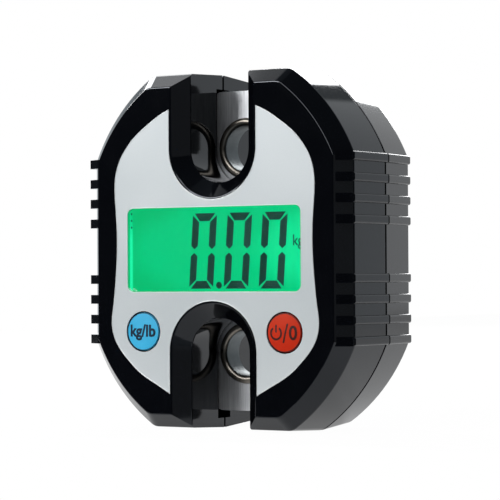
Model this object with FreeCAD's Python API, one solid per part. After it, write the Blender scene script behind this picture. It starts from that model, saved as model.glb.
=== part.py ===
import FreeCAD, Part
import os
from math import cos, pi, sin, sqrt

V = FreeCAD.Vector
os.makedirs("parts", exist_ok=True)

# Sizes in millimetres. The face lies at y = 0, depth runs along +y,
# the width along x, and z = 0 is the middle of the body's height.

# Case outline, measured at the seam between the two shells
case_half_width = 42.7
case_half_height = 50.0
flat_top_half = 22.6
shoulder_drop = 24.2
shoulder_bulge = 2.4
corner_round = 3.8

# Depths of the case
seam_depth = 20.7
case_depth = 40.1
rear_bevel = 3.5

# How far the outline shrinks away from the seam
front_draft = 0.75
rear_draft = 1.1
bevel_width = 3.75
bevel_depth = 4.75
notch_bevel = 4.2
notch_bevel_depth = 4.0
rear_notch_bevel = 2.0
edge_round = 0.3
seam_round = 0.15
seam_groove = 0.75
seam_groove_depth = 0.6
seam_groove_taper = 0.1

# Walls
wall = 2.0
face_wall = 1.8
back_wall = 2.0
lip_height = 1.2
lip_gap = 0.1

# Hook notches in the top and the bottom edge, each round its eye in the load cell
notch_half_width = 9.4
notch_eye_offset = 0.65

# Grip ribs on both flanks
rib_stand = 1.1
rib_height = 2.5
rib_pitch = 5.63
rib_first_z = 7.9
rib_count = 4
rib_front_start = 0.5
rib_edge_round = 0.6
rib_knee_width = 0.5
rib_knee_depth = 3.3
rib_knee_run = 0.8
rib_end_round = 0.8
rib_end_gap = 0.2
rib_overrun = 5.0

# Face panel
panel_thickness = 0.3
panel_notch_margin = 0.5
panel_gap = 0.08
panel_side = ((37.4, 17.9), (34.9, 21.8), (31.7, 26.0), (28.4, 28.9),
              (25.2, 30.9), (21.6, 32.1), (17.6, 32.5), (11.6, 32.15),
              (4.8, 31.75), (-2.0, 31.85), (-8.8, 32.35), (-14.8, 33.0),
              (-19.6, 33.6), (-23.6, 33.0), (-27.0, 31.2), (-30.2, 28.4),
              (-33.9, 24.3), (-37.2, 18.6))
panel_top_tip_z = 39.2
panel_low_tip_z = -39.7

# Display
window_half_width = 28.1
window_top_z = 11.9
window_low_z = -11.4
window_corner = 1.8
lens_thickness = 0.8
lens_margin = 1.1
lens_sink = 0.05
lens_gap = 0.08
display_gap = 0.15
glass_thickness = 2.2
glass_margin = 1.5
backlight_thickness = 2.6
backlight_inset = 1.6
holder_wall = 1.1
holder_front = 3.4
ledge_width = 0.6
strip_width = 1.8
strip_inset = 2.0
slip = 0.1

# Circuit board
board_front = 9.4
board_thickness = 1.6
board_half_width = 36.4
board_top_z = 15.2
board_low_z = -30.0
board_corner = 6.0
board_notch_gap = 1.0
board_post_x = 33.6
board_post_z = 11.0
post_radius = 2.4
chip_size = 9.0
chip_height = 1.5
memory_x = 18.0
regulator_x = -22.0

# Keys
key_x = 22.9
key_z = -22.5
key_radius = 5.3
key_bore_gap = 0.15
key_panel_gap = 0.4
key_crown = 0.4
key_flange_radius = 6.5
key_flange_thickness = 0.9
key_flange_gap = 0.05
key_stem_radius = 1.7
key_travel = 0.5
switch_size = 6.0
switch_height = 3.5
plunger_radius = 1.6
plunger_gap = 0.06
plunger_stand = 1.0
plunger_length = 2.2

# Load cell
cell_thickness = 6.0
cell_half_width = 11.0
cell_recess = 5.0
cell_bay_gap = 1.0
cell_corner = 3.0
cell_waist_half = 8.0
cell_waist_z = 10.0
cell_slot_gap = 0.5
cell_slot_top_gap = 0.9
cell_slot_low_gap = 2.3
eye_end_distance = 16.25
eye_bore_radius = 6.4
sleeve_radius = 7.4
collar_radius = 8.6
collar_stand = 1.1
collar_lip = 1.0
flex_hole_radius = 3.0
flex_hole_z = 5.6
flex_slot_half = 0.8
gauge_length = 5.0
gauge_width = 3.0
gauge_thickness = 0.2
cell_screw_x = 6.5
cell_screw_eye_gap = 12.85
cell_post_radius = 2.6

# Batteries, two AAA cells lying across the back
battery_radius = 5.1
battery_length = 43.3
nub_radius = 1.9
nub_length = 1.2
battery_z = 5.45
bay_half_width = 25.6
bay_half_height = 10.95
bay_depth = 11.8
bay_wall = 1.3
contact_thickness = 0.4
contact_size = 8.0
spring_radius = 3.2
spring_tip_radius = 1.9
spring_wire = 0.4
spring_turns = 3.0

# Battery door, which slides off over the right-hand edge
door_thickness = 2.0
door_half_height = 13.0
door_left = -27.6
door_gap = 0.15
tongue_width = 0.9
tongue_thickness = 0.8
tongue_cover = 0.6
door_frame_margin = 1.6
door_frame_depth = 3.9
grip_count = 6
grip_pitch = 1.6
grip_width = 0.8
grip_depth = 0.5
grip_half_length = 7.0
grip_start_x = 25.0

# Screws
case_screw_x = 27.5
case_screw_z = 34.0
case_post_radius = 3.3
case_head_radius = 2.5
case_head_height = 1.8
case_head_sink = 9.1
case_counterbore_gap = 0.4
case_shank_radius = 1.25
case_screw_length = 16.0
small_head_radius = 2.1
small_head_height = 1.3
small_shank_radius = 0.95
small_screw_length = 6.0
thread_gap = 0.03
shank_gap = 0.2
driver_slot = 0.5

# Centre and radius of the arc that bows the four slanting sides
arc_start = V(flat_top_half, 0, case_half_height)
arc_end = V(case_half_width, 0, case_half_height - shoulder_drop)
chord = arc_end - arc_start
arc_radius = (chord.Length ** 2 / 4 + shoulder_bulge ** 2) / (2 * shoulder_bulge)
arc_outward = V(-chord.z, 0, chord.x).normalize()
arc_centre = (arc_start + arc_end) * 0.5 - arc_outward * (arc_radius - shoulder_bulge)

# Depths that follow from the sizes above
face_inset = front_draft + bevel_width
face_notch = notch_half_width + notch_bevel
rear_edge_depth = case_depth - rear_bevel
back_inset = rear_draft + rear_bevel
door_inner = case_depth - door_thickness
bay_floor = door_inner - bay_depth
bay_outer = bay_floor - bay_wall
cell_back = bay_outer - cell_bay_gap
cell_front = cell_back - cell_thickness
cell_half_height = case_half_height - cell_recess
eye_z = cell_half_height - eye_end_distance
cell_screw_z = eye_z - cell_screw_eye_gap
notch_centre_z = eye_z - notch_eye_offset
case_head_depth = case_depth - case_head_sink
lens_front = face_wall
lens_back = lens_front + lens_thickness
glass_front = lens_back + display_gap
glass_back = glass_front + glass_thickness
backlight_back = glass_back + backlight_thickness
board_back = board_front + board_thickness
switch_front = board_front - switch_height
plunger_front = switch_front - plunger_stand
battery_y = bay_floor + battery_radius + slip
origin = V(0, (case_depth - key_crown) / 2, -case_half_height)


def line(a, b):
    """Straight edge from a to b."""
    return Part.LineSegment(a, b).toShape()


def arc(a, b, c):
    """Arc edge from a through b to c."""
    return Part.Arc(a, b, c).toShape()


def box(x0, x1, y0, y1, z0, z1):
    """Box between two corners, given as ranges along x, y and z."""
    return Part.makeBox(x1 - x0, y1 - y0, z1 - z0, V(x0, y0, z0))


def rod(radius, x, z, y0, y1):
    """Cylinder along y."""
    return Part.makeCylinder(radius, y1 - y0, V(x, y0, z), V(0, 1, 0))


def fused(shapes):
    """One solid from several that touch or overlap."""
    return shapes[0].multiFuse(shapes[1:])


def slab(points, y0, y1):
    """Straight-sided plate between two depths from (x, z) corners."""
    corners = [V(x, y0, z) for x, z in points]
    wire = Part.makePolygon(corners + corners[:1])
    return Part.Face(wire).extrude(V(0, y1 - y0, 0))


def outline(depth, inset, notch):
    """Closed outline of the body at one depth, with both hook notches in it.

    The outer sides lie inset from the outline at the seam, and each notch
    is notch wide on either side of the middle.
    """
    top = case_half_height - inset
    side = case_half_width - inset
    radius = arc_radius - inset
    shoulder_z = arc_centre.z + sqrt(radius ** 2 - (side - arc_centre.x) ** 2)
    corner = V(arc_centre.x + sqrt((radius - corner_round) ** 2 - (top - corner_round - arc_centre.z) ** 2),
               0, top - corner_round)
    flat_end = V(corner.x, 0, top)
    bow_end = arc_centre + (corner - arc_centre).normalize() * radius
    turn = corner + (flat_end + bow_end - corner * 2).normalize() * corner_round
    middle = (bow_end + V(side, 0, shoulder_z)) * 0.5 - arc_centre
    bow = arc_centre + middle.normalize() * radius

    def at(x, z):
        return V(x, depth, z)

    def half(s):
        """Edges from the right-hand flank over one notch to the left-hand flank."""
        return [arc(at(s * side, s * shoulder_z), at(s * bow.x, s * bow.z), at(s * bow_end.x, s * bow_end.z)),
                arc(at(s * bow_end.x, s * bow_end.z), at(s * turn.x, s * turn.z), at(s * flat_end.x, s * top)),
                line(at(s * flat_end.x, s * top), at(s * notch, s * top)),
                line(at(s * notch, s * top), at(s * notch, s * notch_centre_z)),
                arc(at(s * notch, s * notch_centre_z), at(0, s * (notch_centre_z - notch)),
                    at(-s * notch, s * notch_centre_z)),
                line(at(-s * notch, s * notch_centre_z), at(-s * notch, s * top)),
                line(at(-s * notch, s * top), at(-s * flat_end.x, s * top)),
                arc(at(-s * flat_end.x, s * top), at(-s * turn.x, s * turn.z), at(-s * bow_end.x, s * bow_end.z)),
                arc(at(-s * bow_end.x, s * bow_end.z), at(-s * bow.x, s * bow.z), at(-s * side, s * shoulder_z)),
                line(at(-s * side, s * shoulder_z), at(-s * side, -s * shoulder_z))]

    return Part.Wire(half(1) + half(-1))


def lofted(rows):
    """Solid through outlines given as rows of depth, inset and notch half width."""
    return Part.makeLoft([outline(*row) for row in rows], True, True)


def softened(rows, reach):
    """The rows between the first and the last, with each corner rounded over reach."""
    points = [V(*row) for row in rows]
    result = []
    for before, corner, after in zip(points, points[1:], points[2:]):
        start = corner + (before - corner).normalize() * reach
        end = corner + (after - corner).normalize() * reach
        for t in (0.0, 0.33, 0.67, 1.0):
            p = start * (1 - t) ** 2 + corner * (2 * t * (1 - t)) + end * t ** 2
            result.append((p.x, p.y, p.z))
    return result


def front_body():
    """Solid front half: flat face, bevel all round, and sides that widen to the seam."""
    notch_inset = face_inset - bevel_width * notch_bevel_depth / bevel_depth
    bevel = softened([(0, face_inset + 2, face_notch + 2), (0, face_inset, face_notch),
                      (notch_bevel_depth, notch_inset, notch_half_width),
                      (bevel_depth, front_draft, notch_half_width),
                      (seam_depth, 0, notch_half_width)], edge_round)
    seam = softened([(bevel_depth, front_draft, notch_half_width), (seam_depth, 0, notch_half_width),
                     (seam_depth, 2, notch_half_width + 2)], seam_round)
    return lofted(bevel + seam)


def front_hollow():
    """Room inside the front half."""
    slant = wall * sqrt(2)
    return lofted([(face_wall, face_inset + slant - face_wall, face_notch + slant - face_wall),
                   (bevel_depth + slant - wall, front_draft + wall, notch_half_width + wall),
                   (seam_depth, wall, notch_half_width + wall),
                   (seam_depth + wall, wall, notch_half_width + wall)])


def rear_body():
    """Solid rear half: a groove along the seam, sides that narrow to the back, a bevel, a flat back."""
    notch_edge = case_depth - rear_notch_bevel
    groove_end = seam_depth + seam_groove
    floor_end = groove_end - seam_groove_taper
    floor_notch = notch_half_width + seam_groove_depth
    seam = [(seam_depth, seam_groove_depth, floor_notch), (floor_end, seam_groove_depth, floor_notch)]
    seam += softened([(floor_end, seam_groove_depth, floor_notch), (groove_end, 0, notch_half_width),
                      (rear_edge_depth, rear_draft, notch_half_width)], seam_round)
    edge = softened([(seam_depth, 0, notch_half_width), (rear_edge_depth, rear_draft, notch_half_width),
                     (notch_edge, rear_draft + notch_edge - rear_edge_depth, notch_half_width)], edge_round)
    back = softened([(rear_edge_depth, rear_draft, notch_half_width),
                     (notch_edge, rear_draft + notch_edge - rear_edge_depth, notch_half_width),
                     (case_depth, back_inset, notch_half_width + rear_notch_bevel),
                     (case_depth, back_inset + 2, notch_half_width + rear_notch_bevel + 2)], edge_round)
    return lofted(seam + edge + back)


def rear_hollow():
    """Room inside the rear half."""
    slant = wall * (sqrt(2) - 1)
    floor = case_depth - back_wall
    corner = rear_edge_depth - slant
    return lofted([(seam_depth - wall, wall, notch_half_width + wall),
                   (seam_depth, wall, notch_half_width + wall),
                   (corner, rear_draft + wall, notch_half_width + wall),
                   (floor, rear_draft + wall + floor - corner, notch_half_width + wall)])


def seam_ring(y0, y1, inset):
    """Closed ring that follows the inner half of the walls between two depths."""
    outer = lofted([(y, inset, notch_half_width + inset) for y in (y0, y1)])
    inner = lofted([(y, wall, notch_half_width + wall) for y in (y0 - 1, y1 + 1)])
    return outer.cut(inner)


def rib_bar(points, last_edges, side, z):
    """Bar with a rounded crest from the corners of its side view, put on one flank at height z."""
    edges = [line(a, b) for a, b in zip(points, points[1:])] + last_edges
    edges.append(line(edges[-1].lastVertex().Point, points[0]))
    bar = Part.Face(Part.Wire(edges)).extrude(V(0, 0, rib_height))
    crest = []
    for edge in bar.Edges:
        bounds = edge.BoundBox
        along_flank = bounds.ZLength < 0.01 and bounds.YMax > bevel_depth + 1
        if along_flank and bounds.XMin > case_half_width - rear_draft:
            crest.append(edge)
    bar = bar.makeFillet(rib_edge_round, crest)
    bar.translate(V(0, 0, z - rib_height / 2))
    if side < 0:
        bar = bar.mirror(V(0, 0, 0), V(1, 0, 0))
    return bar


def front_rib(side, z):
    """Rib on the front shell: from near the face edge, over the bevel and back to the seam."""
    w = case_half_width
    inner = w - face_inset - 1
    slope = front_draft / (seam_depth - bevel_depth)
    past = seam_depth + rib_overrun
    points = [V(inner, rib_front_start, 0),
              V(w - face_inset + rib_front_start, rib_front_start, 0),
              V(w - front_draft + rib_stand - rib_knee_width, rib_knee_depth - rib_knee_run, 0),
              V(w - front_draft + rib_stand, rib_knee_depth, 0),
              V(w + rib_stand + slope * rib_overrun, past, 0),
              V(inner, past, 0)]
    return rib_bar(points, [], side, z)


def rear_rib(side, z):
    """Rib on the rear shell: from the seam to its rounded end at the rear edge."""
    w = case_half_width
    inner = w - face_inset - 1
    slope = rear_draft / (rear_edge_depth - seam_depth)
    end = rear_edge_depth - rib_end_gap
    r = rib_end_round
    tip = w - rear_draft + rib_stand
    k = r * (1 - cos(pi / 4))
    points = [V(inner, seam_depth - rib_overrun, 0),
              V(w + rib_stand + slope * rib_overrun, seam_depth - rib_overrun, 0),
              V(tip, end - r, 0)]
    rounding = [arc(points[-1], V(tip - k, end - k, 0), V(tip - r, end, 0)),
                line(V(tip - r, end, 0), V(inner, end, 0))]
    return rib_bar(points, rounding, side, z)


def rib_places():
    """Side and height of every grip rib, four above and four below the middle on each flank."""
    heights = [rib_first_z + rib_pitch * k for k in range(rib_count)]
    return [(side, sign * z) for side in (1, -1) for sign in (1, -1) for z in heights]


def front_ribs():
    """The front shell's ribs, cut off at the seam."""
    reach = case_half_width + rib_stand + 1
    keep = box(-reach, reach, 0, seam_depth, -case_half_height, case_half_height)
    return [front_rib(side, z).common(keep) for side, z in rib_places()]


def rear_ribs():
    """The rear shell's ribs, cut off at the seam."""
    reach = case_half_width + rib_stand + 1
    keep = box(-reach, reach, seam_depth + seam_groove, case_depth, -case_half_height, case_half_height)
    return [rear_rib(side, z).common(keep) for side, z in rib_places()]


def case_posts():
    """Places of the four case screws."""
    return [(sx * case_screw_x, sz * case_screw_z) for sx in (1, -1) for sz in (1, -1)]


def board_posts():
    """Places of the four board screws."""
    return [(sx * board_post_x, sz * board_post_z) for sx in (1, -1) for sz in (1, -1)]


def cell_posts():
    """Places of the two screws that hold the load cell."""
    return [(sx * cell_screw_x, cell_screw_z) for sx in (1, -1)]


def cell_passage(back):
    """Space the load cell bar takes up in the shells down to depth back, with room round it."""
    gap = cell_slot_gap
    return box(-cell_half_width - gap, cell_half_width + gap, cell_front - gap, back,
               -cell_half_height - cell_slot_low_gap, cell_half_height + cell_slot_top_gap)


def panel_face(margin):
    """Outline of the silver face panel as a face at y = 0, grown by margin."""
    cut = face_notch + panel_notch_margin - margin
    points = [V(x + margin, 0, z) for z, x in panel_side]
    top = V(cut, 0, panel_top_tip_z + margin)
    low = V(cut, 0, panel_low_tip_z - margin)
    curve = Part.BSplineCurve()
    curve.interpolate([top] + points + [low])
    right = curve.toShape()
    mirrored = [V(-p.x, 0, p.z) for p in [top] + points + [low]]
    curve = Part.BSplineCurve()
    curve.interpolate(mirrored)
    left = curve.toShape()
    u = notch_centre_z
    upper = [line(V(-cut, 0, top.z), V(-cut, 0, u)), arc(V(-cut, 0, u), V(0, 0, u - cut), V(cut, 0, u)),
             line(V(cut, 0, u), V(cut, 0, top.z))]
    lower = [line(V(cut, 0, low.z), V(cut, 0, -u)), arc(V(cut, 0, -u), V(0, 0, cut - u), V(-cut, 0, -u)),
             line(V(-cut, 0, -u), V(-cut, 0, low.z))]
    return Part.Face(Part.Wire(Part.__sortEdges__([right, left] + upper + lower)))


def rounded_plate(half_width, z0, z1, corner, y0, y1):
    """Plate facing along y with four rounded upright corners."""
    plate = box(-half_width, half_width, y0, y1, z0, z1)
    edges = [e for e in plate.Edges if abs(e.BoundBox.YLength - (y1 - y0)) < 0.001
             and e.BoundBox.XLength < 0.001 and e.BoundBox.ZLength < 0.001]
    return plate.makeFillet(corner, edges)


def window_cut(y0, y1):
    """Opening for the display."""
    return rounded_plate(window_half_width, window_low_z, window_top_z, window_corner, y0, y1)


def front_shell():
    """Front half of the case with its ribs, posts, display opening and key bores."""
    shape = fused([front_body()] + front_ribs())
    hollow = front_hollow()
    shape = shape.cut(hollow)
    posts = [rod(post_radius, x, z, face_wall / 2, board_front) for x, z in board_posts()]
    posts += [rod(case_post_radius, x, z, face_wall / 2, seam_depth) for x, z in case_posts()]
    posts = [post.common(front_body()) for post in posts]
    lip = seam_ring(seam_depth - wall, seam_depth + lip_height, (wall + lip_gap) / 2)
    shape = fused([shape, lip] + posts)
    holes = [cell_passage(cell_back + cell_slot_gap), window_cut(-1, face_wall + 1)]
    holes.append(panel_face(panel_gap).extrude(V(0, panel_thickness, 0)))
    for sx in (1, -1):
        holes.append(rod(key_radius + key_bore_gap, sx * key_x, key_z, -1, face_wall + 1))
    for x, z in board_posts():
        holes.append(rod(small_shank_radius + thread_gap, x, z, board_back - small_screw_length - 1, board_front + 1))
    for x, z in case_posts():
        holes.append(rod(case_shank_radius + thread_gap, x, z,
                         case_head_depth - case_screw_length - 1, seam_depth + 1))
    return shape.cut(holes[0].multiFuse(holes[1:]))


def door_blank(gap):
    """The door's plate and side tongues, running out past the right-hand edge."""
    reach = case_half_width + 5
    plate = box(door_left - gap, reach, door_inner - gap, case_depth + 1,
                -door_half_height - gap, door_half_height + gap)
    tongue = box(door_left - gap, reach, case_depth - tongue_cover - tongue_thickness - gap,
                 case_depth - tongue_cover + gap, -door_half_height - tongue_width - gap,
                 door_half_height + tongue_width + gap)
    return plate.fuse(tongue)


def rear_shell():
    """Rear half of the case with battery bay, door rails, screw posts and ribs."""
    body = fused([rear_body()] + rear_ribs())
    shape = body.cut(rear_hollow())
    frame_half = door_half_height + tongue_width + door_frame_margin
    frame = box(door_left - door_frame_margin, case_half_width, case_depth - door_frame_depth, case_depth,
                -frame_half, frame_half)
    bay = box(-bay_half_width - bay_wall, bay_half_width + bay_wall, bay_outer, case_depth - 1,
              -bay_half_height - bay_wall, bay_half_height + bay_wall)
    posts = [rod(case_post_radius, x, z, seam_depth, case_depth - 1) for x, z in case_posts()]
    posts += [rod(cell_post_radius, x, z, cell_back, case_depth - 1) for x, z in cell_posts()]
    shape = fused([shape] + [piece.common(rear_body()) for piece in [frame, bay] + posts])
    holes = [door_blank(door_gap)]
    holes.append(seam_ring(seam_depth - wall, seam_depth + lip_height + lip_gap, (wall - lip_gap) / 2))
    holes.append(box(-bay_half_width, bay_half_width, bay_floor, case_depth, -bay_half_height, bay_half_height))
    holes.append(cell_passage(cell_back))
    for x, z in case_posts():
        holes.append(rod(case_shank_radius + shank_gap, x, z, seam_depth - 1, case_depth))
        holes.append(rod(case_head_radius + case_counterbore_gap, x, z, case_head_depth, case_depth + 1))
    for x, z in cell_posts():
        holes.append(rod(small_shank_radius + thread_gap, x, z, cell_back - 1, cell_back + small_screw_length))
    return shape.cut(holes[0].multiFuse(holes[1:]))


def face_panel():
    """Thin silver panel let into the face, open for the display and the keys."""
    plate = panel_face(0).extrude(V(0, panel_thickness, 0))
    cuts = [rod(key_radius + key_panel_gap, sx * key_x, key_z, -1, 1) for sx in (1, -1)]
    return plate.cut(window_cut(-1, 1).multiFuse(cuts))


def lcd_window():
    """Clear window: a step that fills the display opening, on a flange that rests behind the wall."""
    m = lens_margin
    flange = box(-window_half_width - m, window_half_width + m, lens_front, lens_back,
                 window_low_z - m, window_top_z + m)
    step = rounded_plate(window_half_width - lens_gap, window_low_z + lens_gap, window_top_z - lens_gap,
                         window_corner - lens_gap, lens_sink, lens_front)
    return fused([flange, step]).removeSplitter()


def lcd_glass():
    """Liquid crystal glass."""
    m = glass_margin
    return box(-window_half_width - m, window_half_width + m, glass_front, glass_back,
               window_low_z - m, window_top_z + m)


def backlight_panel():
    """Light guide behind the glass."""
    x = window_half_width + glass_margin - backlight_inset
    m = strip_inset
    return box(-x, x, glass_back, backlight_back, window_low_z + m, window_top_z - m)


def contact_strips():
    """Two rubber contact strips between the glass and the board."""
    x = window_half_width - strip_inset
    top = window_top_z + glass_margin - slip
    low = window_low_z - glass_margin + slip
    upper = box(-x, x, glass_back, board_front, top - strip_width, top)
    lower = box(-x, x, glass_back, board_front, low, low + strip_width)
    return Part.makeCompound([upper, lower])


def lcd_holder():
    """Frame that keeps glass, light guide and strips together on the board."""
    x = window_half_width + glass_margin + slip
    top = window_top_z + glass_margin + slip
    low = window_low_z - glass_margin - slip
    w = holder_wall
    frame = box(-x - w, x + w, holder_front, board_front, low - w, top + w)
    inside = box(-x, x, holder_front - 1, board_front + 1, low, top)
    step = strip_width + 3 * slip
    ledge_top = box(-x, x, glass_back, board_front, top - step - ledge_width, top - step)
    ledge_low = box(-x, x, glass_back, board_front, low + step, low + step + ledge_width)
    return frame.cut(inside).fuse(ledge_top).fuse(ledge_low).removeSplitter()


def circuit_board():
    """Board with a bay cut out for the lower notch and four screw holes."""
    w, t, b, c = board_half_width, board_top_z, board_low_z, board_corner
    plate = slab([(-w, b + c), (-w + c, b), (w - c, b), (w, b + c), (w, t), (-w, t)], board_front, board_back)
    radius = notch_half_width + wall + board_notch_gap
    cuts = [rod(radius, 0, -notch_centre_z, 0, board_back + 1),
            box(-radius, radius, 0, board_back + 1, -case_half_height, -notch_centre_z)]
    cuts += [rod(small_shank_radius + shank_gap, x, z, 0, board_back + 1) for x, z in board_posts()]
    return plate.cut(cuts[0].multiFuse(cuts[1:]))


def board_chips():
    """Measuring chip and memory chip on the back of the board."""
    y0, y1 = board_back, board_back + chip_height
    h = chip_size / 2
    measure = box(-h, h, y0, y1, -h, h)
    memory = box(memory_x, memory_x + h, y0, y1, -h, 0)
    regulator = box(regulator_x, regulator_x + h, y0, y1, 0, h)
    return Part.makeCompound([measure, memory, regulator])


def key(side):
    """Round key cap with crown, flange and stem."""
    x = side * key_x
    dome = (key_radius ** 2 + key_crown ** 2) / (2 * key_crown)
    cap = rod(key_radius, x, key_z, -key_crown, face_wall + key_flange_gap)
    ball = Part.makeSphere(dome, V(x, -key_crown + dome, key_z))
    cap = cap.common(ball)
    flange = rod(key_flange_radius, x, key_z, face_wall + key_flange_gap,
                 face_wall + key_flange_gap + key_flange_thickness)
    stem = rod(key_stem_radius, x, key_z, face_wall, plunger_front)
    return fused([cap, flange, stem])


def switch_body(side):
    """Push switch soldered to the board in front of its key."""
    h = switch_size / 2
    x = side * key_x
    body = box(x - h, x + h, switch_front, board_front, key_z - h, key_z + h)
    return body.cut(rod(plunger_radius + plunger_gap, x, key_z, switch_front - 1,
                        plunger_front + plunger_length + key_travel + slip))


def switch_plunger(side):
    """Moving button of the push switch."""
    return rod(plunger_radius, side * key_x, key_z, plunger_front, plunger_front + plunger_length)


def load_cell():
    """Steel bar with an eye near each end, a waist and a slotted flexing middle."""
    w, h, c = cell_half_width, cell_half_height, cell_corner
    bar = box(-w, w, cell_front, cell_back, -h, h)
    corners = [e for e in bar.Edges if abs(e.BoundBox.YLength - cell_thickness) < 0.001]
    bar = bar.makeFillet(c, corners)
    cuts = []
    for side in (1, -1):
        x0, x1 = sorted((side * cell_waist_half, side * (w + 1)))
        cuts.append(box(x0, x1, cell_front - 1, cell_back + 1, -cell_waist_z, cell_waist_z))
        cuts.append(rod(sleeve_radius, 0, side * eye_z, cell_front - 1, cell_back + 1))
        cuts.append(rod(flex_hole_radius, 0, side * flex_hole_z, cell_front - 1, cell_back + 1))
    cuts.append(box(-flex_slot_half, flex_slot_half, cell_front - 1, cell_back + 1, -flex_hole_z, flex_hole_z))
    for x, z in cell_posts():
        cuts.append(rod(small_shank_radius + shank_gap, x, z, cell_front - 1, cell_back + 1))
    return bar.cut(cuts[0].multiFuse(cuts[1:]))


def eye_bush(sign):
    """Hard sleeve pressed into the eye, with a rounded collar on the front."""
    r, s, c, lip = eye_bore_radius, sleeve_radius, collar_radius, collar_lip
    y0, y1, y2 = cell_front - collar_stand, cell_front, cell_back
    k = lip * (1 - cos(pi / 4))

    def at(x, y):
        return V(x, y, 0)

    edges = [line(at(r, y2), at(s, y2)), line(at(s, y2), at(s, y1)), line(at(s, y1), at(c, y1)),
             line(at(c, y1), at(c, y0 + lip)), arc(at(c, y0 + lip), at(c - k, y0 + k), at(c - lip, y0)),
             line(at(c - lip, y0), at(r + lip, y0)), arc(at(r + lip, y0), at(r + k, y0 + k), at(r, y0 + lip)),
             line(at(r, y0 + lip), at(r, y2))]
    ring = Part.Face(Part.Wire(edges)).revolve(V(0, 0, 0), V(0, 1, 0), 360)
    ring.translate(V(0, 0, sign * eye_z))
    return ring


def strain_gauges():
    """Four foil gauges on the edges of the waist beside the flexing holes."""
    middle = (cell_front + cell_back) / 2
    foils = []
    for sx in (1, -1):
        for sz in (1, -1):
            x0, x1 = sorted((sx * cell_waist_half, sx * (cell_waist_half + gauge_thickness)))
            z = sz * flex_hole_z
            foils.append(box(x0, x1, middle - gauge_width / 2, middle + gauge_width / 2,
                             z - gauge_length / 2, z + gauge_length / 2))
    return Part.makeCompound(foils)


def screw(x, z, seat, direction, head_radius, head_height, shank_radius, length):
    """Screw with a round head sitting at depth seat and its shank along direction."""
    a, b = sorted((seat, seat - direction * head_height))
    head = rod(head_radius, x, z, a, b)
    face = seat - direction * head_height
    c, d = sorted((seat, seat + direction * length))
    shank = rod(shank_radius, x, z, c, d)
    e, f = sorted((face, face + direction * head_height / 2))
    slot = driver_slot / 2
    arm = head_radius * 0.6
    recess = box(x - arm, x + arm, e, f, z - slot, z + slot)
    recess = recess.fuse(box(x - slot, x + slot, e, f, z - arm, z + arm))
    return head.fuse(shank).cut(recess).removeSplitter()


def case_screws():
    """Four long screws from the back that pull the shells together."""
    return Part.makeCompound([screw(x, z, case_head_depth, -1, case_head_radius, case_head_height,
                                    case_shank_radius, case_screw_length) for x, z in case_posts()])


def board_screws():
    """Four small screws that hold the board on the front shell's posts."""
    return Part.makeCompound([screw(x, z, board_back, -1, small_head_radius, small_head_height,
                                    small_shank_radius, small_screw_length) for x, z in board_posts()])


def cell_screws():
    """Two screws that hold the load cell on the rear shell's posts."""
    return Part.makeCompound([screw(x, z, cell_front, 1, small_head_radius, small_head_height,
                                    small_shank_radius, cell_thickness + small_screw_length - 1)
                              for x, z in cell_posts()])


def battery_door():
    """Sliding battery door with side tongues and finger grooves."""
    blank = door_blank(0).common(rear_body())
    cuts = []
    for k in range(grip_count):
        x = grip_start_x + k * grip_pitch
        cuts.append(box(x, x + grip_width, case_depth - grip_depth, case_depth + 1,
                        -grip_half_length, grip_half_length))
    return blank.cut(cuts[0].multiFuse(cuts[1:]))


def battery(sign):
    """One AAA cell; the upper one points right, the lower one points left."""
    length = battery_length + nub_length
    start = V(-sign * length / 2, battery_y, sign * battery_z)
    along = V(sign, 0, 0)
    body = Part.makeCylinder(battery_radius, battery_length, start, along)
    nub = Part.makeCylinder(nub_radius, nub_length, start + along * battery_length, along)
    shift = V(sign * (bay_half_width - contact_thickness - length / 2), 0, 0)
    cell = body.fuse(nub)
    cell.translate(shift)
    return cell


def contact_plate(x_wall, side, z0, z1):
    """Metal contact plate flat on one end wall of the bay."""
    a, b = sorted((x_wall, x_wall - side * contact_thickness))
    half = contact_size / 2
    return box(a, b, battery_y - half, battery_y + half, z0, z1)


def bridge_contact():
    """Plate at the right-hand end that joins the two cells."""
    half = battery_z + contact_size / 2
    return contact_plate(bay_half_width, 1, -half, half)


def end_contacts():
    """Two separate plates at the left-hand end."""
    h = contact_size / 2
    plates = [contact_plate(-bay_half_width, -1, s * battery_z - h, s * battery_z + h) for s in (1, -1)]
    return Part.makeCompound(plates)


def battery_springs():
    """Two tapered coil springs that press on the flat ends of the cells."""
    room = 2 * bay_half_width - 2 * contact_thickness - battery_length - nub_length
    height = room - 2 * spring_wire
    coils = []
    for sign in (1, -1):
        pitch = height / spring_turns
        slope = (spring_radius - spring_tip_radius) / height
        steps = int(spring_turns * 10)
        points = []
        for k in range(steps + 1):
            t = k / steps
            a = 2 * pi * spring_turns * t
            r = spring_radius - slope * height * t
            x = -sign * (bay_half_width - contact_thickness - spring_wire - pitch * spring_turns * t)
            points.append(V(x, battery_y + r * cos(a), sign * battery_z + r * sin(a)))
        curve = Part.BSplineCurve()
        curve.interpolate(points)
        path = Part.Wire(curve.toShape())
        start_direction = points[1] - points[0]
        ring = Part.Wire(Part.Circle(points[0], start_direction, spring_wire).toShape())
        coils.append(path.makePipeShell([ring], True, True))
    return Part.makeCompound(coils)


def write(node, shape):
    """Move one piece into the shared frame and write its STEP file."""
    shape = shape.copy()
    shape.translate(-origin)
    if not shape.isValid():
        raise ValueError("bad solid: " + node)
    shape.exportStep("parts/" + node + ".step")


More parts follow.
